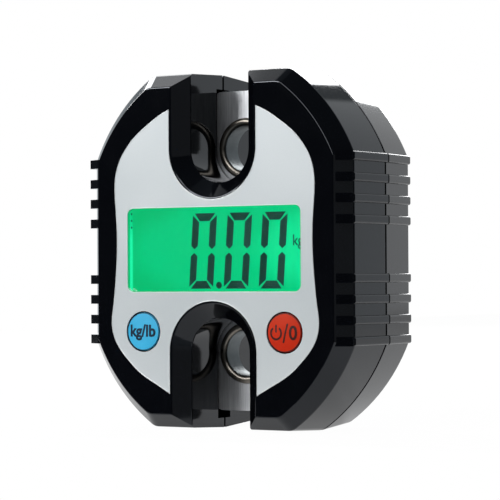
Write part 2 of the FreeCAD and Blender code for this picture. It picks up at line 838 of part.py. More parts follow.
write("front_shell", front_shell())
write("rear_shell", rear_shell())
write("face_panel", face_panel())
write("lcd_window", lcd_window())
write("lcd_glass", lcd_glass())
write("backlight_panel", backlight_panel())
write("contact_strips", contact_strips())
write("lcd_holder", lcd_holder())
write("circuit_board", circuit_board())
write("board_chips", board_chips())
write("board_screws", board_screws())
write("unit_key", key(-1))
write("power_key", key(1))
write("unit_switch", switch_body(-1))
write("power_switch", switch_body(1))
write("unit_plunger", switch_plunger(-1))
write("power_plunger", switch_plunger(1))
write("load_cell", load_cell())
write("upper_eye_bush", eye_bush(1))
write("lower_eye_bush", eye_bush(-1))
write("strain_gauges", strain_gauges())
write("cell_screws", cell_screws())
write("case_screws", case_screws())
write("battery_door", battery_door())
write("upper_battery", battery(1))
write("lower_battery", battery(-1))
write("bridge_contact", bridge_contact())
write("end_contacts", end_contacts())
write("battery_springs", battery_springs())
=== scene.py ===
"""Looks of a digital crane scale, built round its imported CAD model."""

import logging
import math
from dataclasses import dataclass
from enum import Enum
from typing import Any

import bpy
import numpy as np
from mathutils import Matrix, Vector


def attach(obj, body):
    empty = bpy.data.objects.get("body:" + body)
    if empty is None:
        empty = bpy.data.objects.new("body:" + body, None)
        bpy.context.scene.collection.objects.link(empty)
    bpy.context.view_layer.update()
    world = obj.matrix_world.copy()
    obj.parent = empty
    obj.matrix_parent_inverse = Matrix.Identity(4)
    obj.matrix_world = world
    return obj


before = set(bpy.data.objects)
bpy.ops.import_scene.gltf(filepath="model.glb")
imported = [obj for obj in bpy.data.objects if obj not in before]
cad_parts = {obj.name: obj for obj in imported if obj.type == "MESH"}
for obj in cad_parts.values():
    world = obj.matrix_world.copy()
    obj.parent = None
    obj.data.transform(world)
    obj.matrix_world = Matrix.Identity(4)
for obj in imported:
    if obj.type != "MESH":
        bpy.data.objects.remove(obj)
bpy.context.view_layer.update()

log = logging.getLogger("crane_scale")

MM = 0.001
FACE_Y = -19.85
MIDDLE_Z = 50.0
WHITE = (1.0, 1.0, 1.0, 1.0)

Shading = tuple[dict[str, Any], dict[str, bpy.types.NodeSocket]]


class Body(Enum):
    """The rigid bodies that the added pieces ride on."""

    CASE = "case"
    UNIT_KEY = "unit_key_body"
    POWER_KEY = "power_key_body"


def linear(colour: str) -> tuple[float, float, float, float]:
    """Turn an sRGB hex colour into linear values.

    Args:
        colour: Colour such as "#1A2B3C".

    Returns:
        Red, green, blue and alpha in linear light.
    """
    parts = np.array([int(colour[i:i + 2], 16) / 255 for i in (1, 3, 5)])
    low, high = parts / 12.92, ((parts + 0.055) / 1.055) ** 2.4
    red, green, blue = np.where(parts <= 0.04045, low, high)
    return float(red), float(green), float(blue), 1.0


def add_node(tree: bpy.types.NodeTree, kind: str, settings: dict[Any, Any] | None = None,
             links: dict[Any, Any] | None = None) -> bpy.types.Node:
    """Add one shader node with its settings and the links into it.

    Args:
        tree: Node tree that gets the node.
        kind: Blender's name for the node type.
        settings: Values for the node's own properties or its input sockets.
        links: Input socket names or numbers, each with the output socket that feeds it.

    Returns:
        The new node.
    """
    node = tree.nodes.new(kind)
    for key, value in (settings or {}).items():
        if isinstance(key, str) and hasattr(node, key):
            setattr(node, key, value)
        else:
            node.inputs[key].default_value = value
    for key, source in (links or {}).items():
        tree.links.new(source, node.inputs[key])
    return node


def new_tree(name: str) -> tuple[bpy.types.Material, bpy.types.NodeTree]:
    """Make an empty node material.

    Args:
        name: Material name.

    Returns:
        The material and its node tree.
    """
    material = bpy.data.materials.new(name)
    material.use_nodes = True
    material.node_tree.nodes.clear()
    return material, material.node_tree


def colour_band(tree: bpy.types.NodeTree, factor: bpy.types.NodeSocket, stops: list[tuple[float, str]],
                blend: str = "LINEAR") -> bpy.types.NodeSocket:
    """Colour that runs through several stops.

    Args:
        tree: Node tree.
        factor: Socket that picks the place along the band.
        stops: Places from 0 to 1, each with its hex colour.
        blend: Blender's name for how one stop goes over into the next.

    Returns:
        The colour socket.
    """
    band = add_node(tree, "ShaderNodeValToRGB", links={"Fac": factor})
    band.color_ramp.interpolation = blend
    elements = band.color_ramp.elements
    while len(elements) < len(stops):
        elements.new(0.5)
    for element, (place, colour) in zip(elements, stops):
        element.position = place
        element.color = linear(colour)
    return band.outputs["Color"]


def reckon(tree: bpy.types.NodeTree, operation: str,
           *terms: float | bpy.types.NodeSocket) -> bpy.types.NodeSocket:
    """Work out one sum in a node.

    Args:
        tree: Node tree.
        operation: Blender's name for the sum.
        *terms: Its terms in order, each a number or a socket.

    Returns:
        The socket with the outcome.
    """
    numbers = {i: term for i, term in enumerate(terms) if isinstance(term, float)}
    sockets = {i: term for i, term in enumerate(terms) if i not in numbers}
    return add_node(tree, "ShaderNodeMath", {"operation": operation, **numbers}, sockets).outputs[0]


def mapped(tree: bpy.types.NodeTree, factor: bpy.types.NodeSocket, first: float, last: float,
           low: float = 0.0, high: float = 1.0, clamp: bool = True) -> bpy.types.NodeSocket:
    """Map the run of a factor from first to last onto low to high.

    Args:
        tree: Node tree.
        factor: Socket to map.
        first: Value that becomes low.
        last: Value that becomes high.
        low: Start of the new run.
        high: End of the new run.
        clamp: Whether values outside the run stay at its ends.

    Returns:
        The mapped socket.
    """
    run = {"From Min": first, "From Max": last, "To Min": low, "To Max": high, "clamp": clamp}
    return add_node(tree, "ShaderNodeMapRange", run, {"Value": factor}).outputs["Result"]


def noise(tree: bpy.types.NodeTree, place: bpy.types.NodeSocket, size_mm: float,
          detail: float) -> bpy.types.NodeSocket:
    """Noise whose largest grains have about the given size.

    Args:
        tree: Node tree.
        place: Coordinates that it is laid out on.
        size_mm: Grain size in millimetres.
        detail: How many finer layers it has.

    Returns:
        The noise from 0 to 1.
    """
    settings = {"Scale": 1 / (size_mm * MM), "Detail": detail}
    return add_node(tree, "ShaderNodeTexNoise", settings, {"Vector": place}).outputs["Fac"]


def scaled(tree: bpy.types.NodeTree, place: bpy.types.NodeSocket, scale: tuple[float, float, float],
           shift: tuple[float, float, float] = (0.0, 0.0, 0.0)) -> bpy.types.NodeSocket:
    """Coordinates scaled by axis, and then shifted.

    Args:
        tree: Node tree.
        place: Coordinates.
        scale: Factor for each axis.
        shift: Shift in metres.

    Returns:
        The new coordinates.
    """
    settings = {"Location": shift, "Scale": scale}
    return add_node(tree, "ShaderNodeMapping", settings, {"Vector": place}).outputs["Vector"]


def relief(tree: bpy.types.NodeTree, height: bpy.types.NodeSocket, strength: float, depth_mm: float,
           sunk: bool = False) -> bpy.types.NodeSocket:
    """Fine relief in the surface.

    Args:
        tree: Node tree.
        height: Socket with the height from 0 to 1.
        strength: Share of the relief that shows.
        depth_mm: Depth of the relief in millimetres.
        sunk: Whether what is high goes in.

    Returns:
        The bent normal.
    """
    settings = {"Strength": strength, "Distance": depth_mm * MM, "invert": sunk}
    return add_node(tree, "ShaderNodeBump", settings, {"Height": height}).outputs["Normal"]


def tinted(tree: bpy.types.NodeTree, share: bpy.types.NodeSocket, colour: bpy.types.NodeSocket,
           tint: str) -> bpy.types.NodeSocket:
    """Mix a colour with a plain one.

    Args:
        tree: Node tree.
        share: How much of the plain colour there is.
        colour: Colour where there is none of it.
        tint: The plain colour in hex.

    Returns:
        The mixed colour.
    """
    settings = {"data_type": "RGBA", "B": linear(tint)}
    return add_node(tree, "ShaderNodeMix", settings, {"Factor": share, "A": colour}).outputs["Result"]


@dataclass(frozen=True)
class Finish:
    """A procedural material, laid out on object coordinates."""

    name: str

    def shade(self, tree: bpy.types.NodeTree, place: bpy.types.NodeSocket) -> Shading:
        """Lay the nodes of the pattern.

        Args:
            tree: The material's node tree.
            place: Object coordinates.

        Returns:
            The plain inputs of the surface's shader, and the sockets that feed its other inputs.
        """
        raise NotImplementedError

    def build(self) -> bpy.types.Material:
        """Make the material and return it."""
        material, tree = new_tree(self.name)
        place = add_node(tree, "ShaderNodeTexCoord").outputs["Object"]
        shader = add_node(tree, "ShaderNodeBsdfPrincipled", *self.shade(tree, place))
        add_node(tree, "ShaderNodeOutputMaterial", links={"Surface": shader.outputs["BSDF"]})
        return material


@dataclass(frozen=True)
class MouldedPlastic(Finish):
    """Injection-moulded plastic: even colour, faint flow marks and a soft orange peel in its gloss."""

    dark: str
    light: str
    roughness: float
    spread: float
    grain_mm: float
    bump: float
    ior: float = 1.53
    sheen: str = "#FFFFFF"
    flow_grains: float = 8.0

    def shade(self, tree: bpy.types.NodeTree, place: bpy.types.NodeSocket) -> Shading:
        """Lay flow marks in colour and gloss, and a fine grain in relief."""
        flow = noise(tree, place, self.grain_mm * self.flow_grains, 3.0)
        grain = noise(tree, place, self.grain_mm, 2.0)
        return ({"IOR": self.ior, "Specular Tint": linear(self.sheen)},
                {"Base Color": colour_band(tree, flow, [(0.3, self.dark), (0.7, self.light)]),
                 "Roughness": mapped(tree, flow, 0.0, 1.0, self.roughness - self.spread,
                                     self.roughness + self.spread),
                 "Normal": relief(tree, grain, self.bump, 0.02)})


@dataclass(frozen=True)
class SatinFilm(Finish):
    """Silver-printed satin film: tiny flakes in the print and a soft, wide sheen."""

    dark: str
    light: str
    roughness: float = 0.42
    metallic: float = 0.25
    flake_mm: float = 0.3
    drift_mm: float = 30.0

    def shade(self, tree: bpy.types.NodeTree, place: bpy.types.NodeSocket) -> Shading:
        """Lay fine flakes over a slow drift of tone."""
        flake = noise(tree, place, self.flake_mm, 3.0)
        both = reckon(tree, "MULTIPLY_ADD", flake, 0.35, noise(tree, place, self.drift_mm, 1.0))
        return ({"Metallic": self.metallic},
                {"Base Color": colour_band(tree, both, [(0.4, self.dark), (0.95, self.light)]),
                 "Roughness": mapped(tree, flake, 0.0, 1.0, self.roughness - 0.05, self.roughness + 0.05),
                 "Normal": relief(tree, flake, 0.08, 0.01)})


@dataclass(frozen=True)
class GroundSteel(Finish):
    """Steel ground in one direction: fine lines along it that drag the highlights across."""

    dark: str
    light: str
    roughness: float
    line_mm: float
    run: tuple[float, float, float]
    cloud_mm: float = 6.0

    def shade(self, tree: bpy.types.NodeTree, place: bpy.types.NodeSocket) -> Shading:
        """Lay the ground lines, with a slow cloud over their gloss."""
        lines = noise(tree, scaled(tree, place, self.run), self.line_mm, 5.0)
        mixed = reckon(tree, "MULTIPLY_ADD", noise(tree, place, self.cloud_mm, 3.0), 0.5, lines)
        return ({"Metallic": 1.0},
                {"Base Color": colour_band(tree, lines, [(0.25, self.dark), (0.75, self.light)]),
                 "Roughness": mapped(tree, mixed, 0.0, 1.5, self.roughness - 0.1, self.roughness + 0.1),
                 "Normal": relief(tree, lines, 0.35, 0.01)})


@dataclass(frozen=True)
class TurnedSteel(Finish):
    """Hardened steel turned on a lathe: fine rings, a warm temper colour, and a rougher bore in a darker,
    cooler grey that is painted shade.
    """

    dark: str
    light: str
    bore: str
    centre_mm: tuple[float, float]
    bore_mm: float = 6.5
    roughness: float = 0.3
    ring_mm: float = 0.25
    cloud_mm: float = 3.0

    def shade(self, tree: bpy.types.NodeTree, place: bpy.types.NodeSocket) -> Shading:
        """Lay rings round the eye's middle and set the bore apart by its distance from it, in a darker grey
        as painted shade.
        """
        x, z = self.centre_mm
        centred = scaled(tree, place, (1, 0, 1), (-x * MM, 0.0, -z * MM))
        rings = add_node(tree, "ShaderNodeTexWave",
                         {"wave_type": "RINGS", "rings_direction": "SPHERICAL", "Distortion": 1.5,
                          "Scale": 0.3 / (self.ring_mm * MM), "Detail": 2.0}, {"Vector": centred})
        cloud = noise(tree, place, self.cloud_mm, 4.0)
        colour = colour_band(tree, cloud, [(0.3, self.dark), (0.7, self.light)])
        away = add_node(tree, "ShaderNodeVectorMath", {"operation": "LENGTH"}, {0: centred})
        # Inside the bore the colour turns to the darker, cooler bore grey: painted shade in the hole.
        shaded_bore = reckon(tree, "LESS_THAN", away.outputs["Value"], self.bore_mm * MM)
        gloss = mapped(tree, cloud, 0.0, 1.0, self.roughness - 0.08, self.roughness + 0.08)
        return ({"Metallic": 1.0},
                {"Base Color": tinted(tree, shaded_bore, colour, self.bore),
                 "Roughness": reckon(tree, "MULTIPLY_ADD", shaded_bore, 0.15, gloss),
                 "Normal": relief(tree, rings.outputs["Fac"], 0.3, 0.01)})


@dataclass(frozen=True)
class LitGlass(Finish):
    """Liquid crystal glass lit from behind: an even green, brighter at its right end, with a painted
    highlight down its left edge.
    """

    # edge is the colour of the painted highlight along the left edge.
    edge: str
    left: str
    middle: str
    right: str
    half_width_mm: float
    half_height_mm: float = 11.0
    streak_mm: float = 2.2
    strip_mm: tuple[float, float] = (0.75, 0.35)

    def shade(self, tree: bpy.types.NodeTree, place: bpy.types.NodeSocket) -> Shading:
        """Lay the glow along the glass, streaked upright, and a painted highlight, brightest low down, along
        its left edge.
        """
        across = add_node(tree, "ShaderNodeSeparateXYZ", links={"Vector": place})
        w = self.half_width_mm * MM
        along = mapped(tree, across.outputs["X"], -w, w)
        streaks = noise(tree, scaled(tree, place, (1.0, 1.0, 0.06)), self.streak_mm, 2.0)
        shifted = reckon(tree, "MULTIPLY_ADD", streaks, 0.22, along)
        height = mapped(tree, across.outputs["Z"], MIDDLE_Z * MM, (MIDDLE_Z + self.half_height_mm) * MM,
                        clamp=False)
        centred = reckon(tree, "MULTIPLY_ADD", reckon(tree, "MULTIPLY", height, height), -0.30, shifted)
        field = colour_band(tree, centred, [(0.0, self.left), (0.22, self.middle), (0.75, self.middle),
                                            (1.0, self.right)])
        # The band at the left edge is a painted highlight, standing in for the glow reflected in the lens
        # step's side.
        outer, inner = (-w + inset * MM for inset in self.strip_mm)
        edge = mapped(tree, across.outputs["X"], outer, inner)
        strip = reckon(tree, "MULTIPLY", edge, mapped(tree, height, 1.0, 0.3, 0.15))
        return ({"Base Color": linear("#010402"), "Roughness": 0.3, "Specular IOR Level": 0.1,
                 "Emission Strength": 1.0},
                {"Emission Color": tinted(tree, strip, field, self.edge)})


@dataclass(frozen=True)
class ClearAcrylic(Finish):
    """Clear cast acrylic: colourless, polished, with the faintest haze."""

    haze_mm: float = 8.0

    def shade(self, tree: bpy.types.NodeTree, place: bpy.types.NodeSocket) -> Shading:
        """Lay the haze in the gloss."""
        haze = noise(tree, place, self.haze_mm, 3.0)
        return ({"Base Color": WHITE, "IOR": 1.49, "Transmission Weight": 1.0},
                {"Roughness": mapped(tree, haze, 0.0, 1.0, 0.0, 0.04)})


@dataclass(frozen=True)
class PrintedInk(Finish):
    """Opaque printed or switched ink: dark, slightly uneven where it lies thin."""

    dark: str
    light: str
    roughness: float = 0.45
    cover_mm: float = 1.2

    def shade(self, tree: bpy.types.NodeTree, place: bpy.types.NodeSocket) -> Shading:
        """Lay the uneven cover of the ink."""
        cover = noise(tree, place, self.cover_mm, 4.0)
        return ({"Specular IOR Level": 0.3},
                {"Base Color": colour_band(tree, cover, [(0.3, self.dark), (0.75, self.light)]),
                 "Roughness": mapped(tree, cover, 0.0, 1.0, self.roughness - 0.05, self.roughness + 0.05)})


@dataclass(frozen=True)
class BoardLacquer(Finish):
    """Green lacquer on a glass-fibre board: copper runs show through as lighter green."""

    lacquer: str
    copper: str
    run_mm: float = 1.6

    def shade(self, tree: bpy.types.NodeTree, place: bpy.types.NodeSocket) -> Shading:
        """Lay the runs as square cells and their borders, slightly proud of the board."""
        runs = add_node(tree, "ShaderNodeTexVoronoi",
                        {"distance": "CHEBYCHEV", "feature": "F1", "Scale": 1 / (self.run_mm * 2 * MM)},
                        {"Vector": scaled(tree, place, (1, 0, 1))}).outputs["Distance"]
        wide = mapped(tree, reckon(tree, "PINGPONG", runs, 0.16), 0.05, 0.07)
        return ({"IOR": 1.5},
                {"Base Color": colour_band(tree, wide, [(0.0, self.copper), (1.0, self.lacquer)]),
                 "Roughness": mapped(tree, runs, 0.0, 1.0, 0.25, 0.4),
                 "Normal": relief(tree, wide, 0.4, 0.03, sunk=True)})


@dataclass(frozen=True)
class LayeredRubber(Finish):
    """Contact rubber: black and pale layers laid crosswise, a little under 1 mm a pair."""

    layer_mm: float = 0.6

    def shade(self, tree: bpy.types.NodeTree, place: bpy.types.NodeSocket) -> Shading:
        """Lay the layers one beside the other."""
        layers = add_node(tree, "ShaderNodeTexWave",
                          {"bands_direction": "X", "Scale": 0.314 / (self.layer_mm * MM)},
                          {"Vector": place}).outputs["Fac"]
        return ({"Roughness": 0.75},
                {"Base Color": colour_band(tree, layers, [(0.4, "#1B1A1C"), (0.6, "#B9B2B4")]),
                 "Normal": relief(tree, layers, 0.2, 0.02)})


@dataclass(frozen=True)
class CellJacket(Finish):
    """Shrunk plastic jacket over a metal can: two plain colours, bare metal at the cell's ends."""

    body: str
    band: str
    metal: str
    first_mm: float
    last_mm: float
    scuff_mm: float = 2.0

    def shade(self, tree: bpy.types.NodeTree, place: bpy.types.NodeSocket) -> Shading:
        """Lay the plain colours along the cell, and scuffs in the gloss."""
        across = add_node(tree, "ShaderNodeSeparateXYZ", links={"Vector": place})
        along = mapped(tree, across.outputs["X"], self.first_mm * MM, self.last_mm * MM)
        stops = [(0.0, self.metal), (0.02, self.body), (0.72, self.band), (0.97, self.metal)]
        scuff = noise(tree, place, self.scuff_mm, 4.0)
        return ({"Metallic": 0.3},
                {"Base Color": colour_band(tree, along, stops, "CONSTANT"),
                 "Roughness": mapped(tree, scuff, 0.0, 1.0, 0.2, 0.36)})


def dress(node: str, material: bpy.types.Material) -> None:
    """Give a CAD node a better material in its own slots.

    Args:
        node: Name of the CAD node.
        material: The finish it gets.
    """
    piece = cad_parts[node]
    for slot in piece.material_slots:
        slot.material = material
    log.info("dressed %s in %s", node, material.name)


def add_piece(name: str, mesh: bpy.types.Mesh, material: bpy.types.Material, body: Body) -> None:
    """Put a finished mesh into the scene on one body.

    Args:
        name: Piece name.
        mesh: Its mesh, with its place in the vertices.
        material: Its finish.
        body: The rigid body that it rides on.
    """
    mesh.materials.clear()
    mesh.materials.append(material)
    piece = bpy.data.objects.new(name, mesh)
    bpy.context.scene.collection.objects.link(piece)
    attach(piece, body.value)
    log.info("made %s, %d faces, on %s", name, len(mesh.polygons), body.value)


def in_frame(points: np.ndarray) -> np.ndarray:
    """Move points from part millimetres into the shared frame in metres.

    Args:
        points: Rows of x, depth behind the face and height over the middle, in millimetres.

    Returns:
        The moved rows.
    """
    return (points + np.array([0.0, FACE_Y, MIDDLE_Z])) * MM


def points_of(mesh: bpy.types.Mesh) -> np.ndarray:
    """Read the points of a mesh.

    Args:
        mesh: The mesh.

    Returns:
        Rows of x, y and z in the mesh's own unit.
    """
    flat = np.empty(len(mesh.vertices) * 3)
    mesh.vertices.foreach_get("co", flat)
    return flat.reshape(-1, 3)


def arc(x: float, z: float, radius: float, angles: np.ndarray) -> np.ndarray:
    """Points on a circle in the face plane.

    Args:
        x: Across, of its middle.
        z: Height of its middle.
        radius: Its radius. A negative one gives the points opposite.
        angles: Angles from +x towards +z.

    Returns:
        Rows of x and z.
    """
    return np.column_stack([x + radius * np.cos(angles), z + radius * np.sin(angles)])


def mesh_from(name: str, points: np.ndarray, faces: list[list[int]]) -> bpy.types.Mesh:
    """Make a mesh from points in part millimetres.

    Args:
        name: Mesh name.
        points: Rows of x, depth behind the face and height over the middle, in millimetres.
        faces: Corner numbers of each face.

    Returns:
        The mesh in metres in the shared frame.
    """
    mesh = bpy.data.meshes.new(name)
    mesh.from_pydata(in_frame(points).tolist(), [], faces)
    mesh.validate()
    mesh.update()
    return mesh


def prisms(name: str, outlines: list[np.ndarray], depth: float, thickness: float) -> bpy.types.Mesh:
    """Flat closed plates from outlines in the face plane.

    Each outline, a closed loop of x and z, is copied at the front depth and at
    the back depth, and a strip of side faces joins the two loops.

    Args:
        name: Mesh name.
        outlines: Loops of x and z in millimetres, each anticlockwise as the face is read.
        depth: Depth of the plates' front behind the face.
        thickness: How thick the plates are.

    Returns:
        One mesh with all plates.
    """
    points, faces, start = [], [], 0
    for loop in outlines:
        n = len(loop)
        for y in (depth, depth + thickness):
            points.append(np.column_stack([loop[:, 0], np.full(n, y), loop[:, 1]]))
        ring = np.arange(n)
        after = np.roll(ring, -1)
        faces.append((start + ring).tolist())
        faces.append((start + n + ring[::-1]).tolist())
        sides = np.column_stack([ring, ring + n, after + n, after]) + start
        faces.extend(sides.tolist())
        start += 2 * n
    return mesh_from(name, np.vstack(points), faces)


def bead(name: str, path: np.ndarray, width: float, height: float, depth: float,
         steps: int = 6) -> bpy.types.Mesh:
    """Low rounded bead that follows a closed path in the face plane.

    The profile is half an ellipse, width across and height high, closed by its
    flat base. At each path point it stands across the path: the point plus the
    path's normal times half the width times cos(t), raised by height times
    sin(t), with t from 0 to pi.

    Args:
        name: Mesh name.
        path: Closed loop of x and z in millimetres.
        width: Width of the bead.
        height: How far it stands out of the surface.
        depth: Depth of its base behind the face.
        steps: Number of strips over the crest.

    Returns:
        The closed bead as one mesh.
    """
    tangent = np.roll(path, -1, axis=0) - np.roll(path, 1, axis=0)
    tangent /= np.linalg.norm(tangent, axis=1)[:, None]
    normal = np.column_stack([-tangent[:, 1], tangent[:, 0]])
    t = np.linspace(0.0, np.pi, steps + 1)
    across = np.cos(t) * width / 2
    lift = np.sin(t) * height
    flat = path[:, None, :] + normal[:, None, :] * across[None, :, None]
    depth_grid = np.broadcast_to(depth - lift, flat.shape[:2])
    points = np.stack([flat[..., 0], depth_grid, flat[..., 1]], axis=-1).reshape(-1, 3)
    n, m = len(path), steps + 1
    i, j = np.meshgrid(np.arange(n), np.arange(m), indexing="ij")
    k = (i + 1) % n
    l = (j + 1) % m
    faces = np.stack([i * m + j, k * m + j, k * m + l, i * m + l], axis=-1).reshape(-1, 4)
    return mesh_from(name, points, faces.tolist())


def smooth_loop(corners: np.ndarray, steps: int = 8) -> np.ndarray:
    """Smooth open curve through its corners.

    Between two corners it is the cubic whose slope at each corner is half the
    step between that corner's neighbours.

    Args:
        corners: Rows of x and z.
        steps: Points laid on each stretch.

    Returns:
        The points of the curve, its last corner included.
    """
    padded = np.vstack([2 * corners[0] - corners[1], corners, 2 * corners[-1] - corners[-2]])
    a, b, c, d = padded[:-3], padded[1:-2], padded[2:-1], padded[3:]
    t = np.linspace(0, 1, steps, endpoint=False)[None, :, None]
    a, b, c, d = (p[:, None, :] for p in (a, b, c, d))
    curve = 0.5 * (2 * b + (c - a) * t + (2 * a - 5 * b + 4 * c - d) * t ** 2
                   + (3 * b - a - 3 * c + d) * t ** 3)
    return np.vstack([curve.reshape(-1, 2), corners[-1:]])


def text_mesh(name: str, words: str, height: float, left: float, low: float, depth: float,
              weight: float, squeeze: float, centre: bool = False) -> bpy.types.Mesh:
    """Letters as a thin closed mesh in the face plane.

    Args:
        name: Mesh name.
        words: What is written.
        height: Height of a capital letter in millimetres.
        left: Place of the left edge, or of the middle if centred.
        low: Height of the base line over the body's middle.
        depth: Depth behind the face.
        weight: How much the strokes are thickened, as a share of the letter height.
        squeeze: Width factor.
        centre: Whether the words are centred on left.

    Returns:
        The letters as a mesh in the shared frame.
    """
    curve = bpy.data.curves.new(name, "FONT")
    curve.body = words
    curve.size = 1.0
    curve.offset = weight
    curve.extrude = 0.01
    curve.resolution_u = 4
    carrier = bpy.data.objects.new(name + "_carrier", curve)
    bpy.context.scene.collection.objects.link(carrier)
    mesh = bpy.data.meshes.new_from_object(carrier.evaluated_get(bpy.context.evaluated_depsgraph_get()))
    bpy.data.objects.remove(carrier)
    bpy.data.curves.remove(curve)
    points = points_of(mesh)
    capital, flatness = 0.69, 0.3
    scale = height / capital
    x = points[:, 0] * scale * squeeze
    x = x - (x.min() + x.max()) / 2 if centre else x - x.min()
    moved = np.column_stack([x + left, depth - points[:, 2] * scale * flatness, points[:, 1] * scale + low])
    mesh.vertices.foreach_set("co", in_frame(moved).ravel())
    mesh.update()
    mesh.name = name
    return mesh


def on_crown(mesh: bpy.types.Mesh, centre: tuple[float, float], radius: float, crown: float,
             lift: float) -> None:
    """Lay a flat mesh on a key's crown.

    The crown is a shallow ball cap: at distance d from the key's middle its
    surface lies d squared over twice the ball's radius behind the crown's top.
    Every point moves back by that much and comes forward by lift.

    Args:
        mesh: Mesh that lies flat at the depth of the crown's top.
        centre: Key centre, x and height over the middle, in millimetres.
        radius: Key radius.
        crown: How far the crown stands out over that radius.
        lift: How far the ink stands over the crown.
    """
    ball = (radius ** 2 + crown ** 2) / (2 * crown)
    points = points_of(mesh)
    x = points[:, 0] / MM - centre[0]
    z = points[:, 2] / MM - MIDDLE_Z - centre[1]
    points[:, 1] += ((x ** 2 + z ** 2) / (2 * ball) - lift) * MM
    mesh.vertices.foreach_set("co", points.ravel())
    mesh.update()


def join_meshes(name: str, meshes: list[bpy.types.Mesh]) -> bpy.types.Mesh:
    """Put several meshes into one.

    Args:
        name: Name of the joined mesh.
        meshes: The meshes, which are removed.

    Returns:
        The joined mesh.
    """
    points, faces, start = [], [], 0
    for mesh in meshes:
        points.append(points_of(mesh))
        faces += [[v + start for v in polygon.vertices] for polygon in mesh.polygons]
        start += len(mesh.vertices)
        bpy.data.meshes.remove(mesh)
    joined = bpy.data.meshes.new(name)
    joined.from_pydata(np.vstack(points).tolist(), [], faces)
    joined.update()
    return joined


